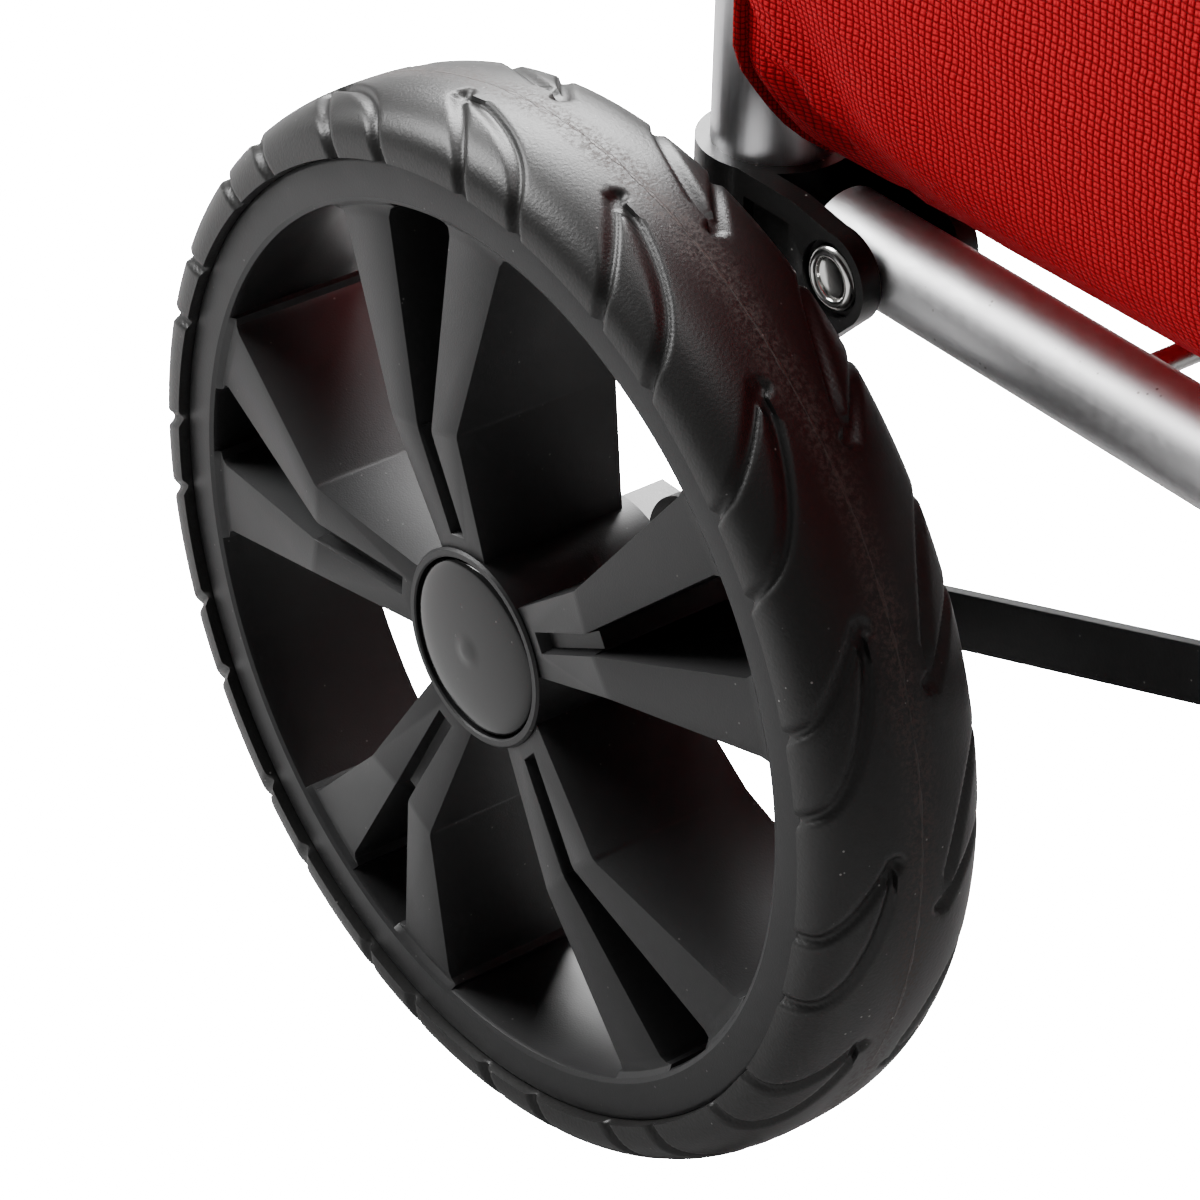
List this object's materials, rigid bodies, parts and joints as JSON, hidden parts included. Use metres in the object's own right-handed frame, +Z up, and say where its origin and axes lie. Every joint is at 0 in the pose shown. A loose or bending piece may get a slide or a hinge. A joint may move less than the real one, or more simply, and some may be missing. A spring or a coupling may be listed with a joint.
{
  "type": "folding hand truck",
  "caption": "Folding two-wheeled hand truck: telescoping tube frame, large spoked wheels, fold-up platform with struts and a fold-back stand, and an open fabric bag.",
  "frame": {"origin": "on the floor, under the middle of the object's box", "axes": "+X forward, the way the platform points; +Y to the left side; +Z up"},
  "size_m": [0.4116, 0.446, 1.0265],
  "materials": {
    "tyre": "semi-matte black foam rubber with a dusty worn crown",
    "rim_plastic": "charcoal textured polypropylene",
    "cap_gloss": "gloss black",
    "bush_plastic": "natural nylon",
    "steel_bright": "zinc plated",
    "rivet_plated": "bright plated",
    "tube_brushed": "drawn and anodised, fine lines along the tube",
    "tube_satin": "satin anodised with small scratches",
    "grip_foam": "matte foam",
    "bracket_nylon": "satin black nylon",
    "black_steel": "black powder coat, worn along the edges",
    "foot_rubber": "matte",
    "bag_fabric": "coarse coated basket weave polyester",
    "bag_board": "hardboard under fabric",
    "bag_webbing": "woven webbing"
  },
  "bodies": {
    "frame": {"right_upright": "tube_brushed", "left_upright": "tube_brushed", "lower_cross_tube": "tube_brushed", "upper_cross_tube": "tube_brushed", "handle_collars": "bracket_nylon", "right_axle_bracket": "bracket_nylon", "left_axle_bracket": "bracket_nylon", "strut_bolts": "steel_bright", "strut_spacers": "steel_bright", "lug_pins": "steel_bright", "right_pivot_bracket": "bracket_nylon", "left_pivot_bracket": "bracket_nylon", "pivot_rivets": "rivet_plated", "bracket_pins": "steel_bright", "axle": "steel_bright", "axle_spacers": "steel_bright", "axle_push_nuts": "steel_bright", "bag_shell": "bag_fabric", "bag_board": "bag_board", "bag_loops": "bag_webbing", "loop_hooks": "bracket_nylon"},
    "handle": {"handle_tube": "tube_brushed", "handle_grip": "grip_foam"},
    "right_wheel": {"right_tyre": "tyre", "right_rim": "rim_plastic", "right_hub_cap": "cap_gloss", "right_hub_bushes": "bush_plastic"},
    "left_wheel": {"left_tyre": "tyre", "left_rim": "rim_plastic", "left_hub_cap": "cap_gloss", "left_hub_bushes": "bush_plastic"},
    "platform": {"platform_tube": "tube_satin", "platform_rods": "steel_bright", "stand_hangers": "black_steel", "stand_rod": "steel_bright", "rod_end_caps": "steel_bright"},
    "right_strut": {"right_strut": "black_steel"},
    "left_strut": {"left_strut": "black_steel"},
    "stand": {"stand_tube": "tube_satin", "stand_bushes": "bush_plastic", "stand_feet": "foot_rubber"}
  },
  "joints": [
    {"name": "right_wheel_spin", "type": "hinge", "parent": "frame", "child": "right_wheel", "pos_m": [-0.09575, -0.2, 0.11], "axis": [0, 1, 0], "continuous": true},
    {"name": "left_wheel_spin", "type": "hinge", "parent": "frame", "child": "left_wheel", "pos_m": [-0.09575, 0.2, 0.11], "axis": [0, 1, 0], "continuous": true},
    {"name": "platform_fold", "type": "hinge", "parent": "frame", "child": "platform", "pos_m": [-0.06025, 0, 0.1896], "axis": [0, -1, 0], "range_deg": [0, 90], "deforming": ["bag_shell", "bag_board"]},
    {"name": "right_strut_swing", "type": "hinge", "parent": "frame", "child": "right_strut", "pos_m": [-0.09325, -0.1303, 0.09], "axis": [0, -1, 0], "range_deg": [0, 43]},
    {"name": "left_strut_swing", "type": "hinge", "parent": "frame", "child": "left_strut", "pos_m": [-0.09325, 0.1303, 0.09], "axis": [0, -1, 0], "range_deg": [0, 43]},
    {"name": "stand_fold", "type": "hinge", "parent": "platform", "child": "stand", "pos_m": [0.14425, 0, 0.17424], "axis": [0, 1, 0], "range_deg": [0, 88]},
    {"name": "handle_slide", "type": "slide", "parent": "frame", "child": "handle", "axis": [0, 0, 1], "range_m": [-0.14, 0]}
  ],
  "couplings": [
    {"joint": "right_strut_swing", "follows": "platform_fold", "ratio": 0.47},
    {"joint": "left_strut_swing", "follows": "platform_fold", "ratio": 0.47}
  ]
}
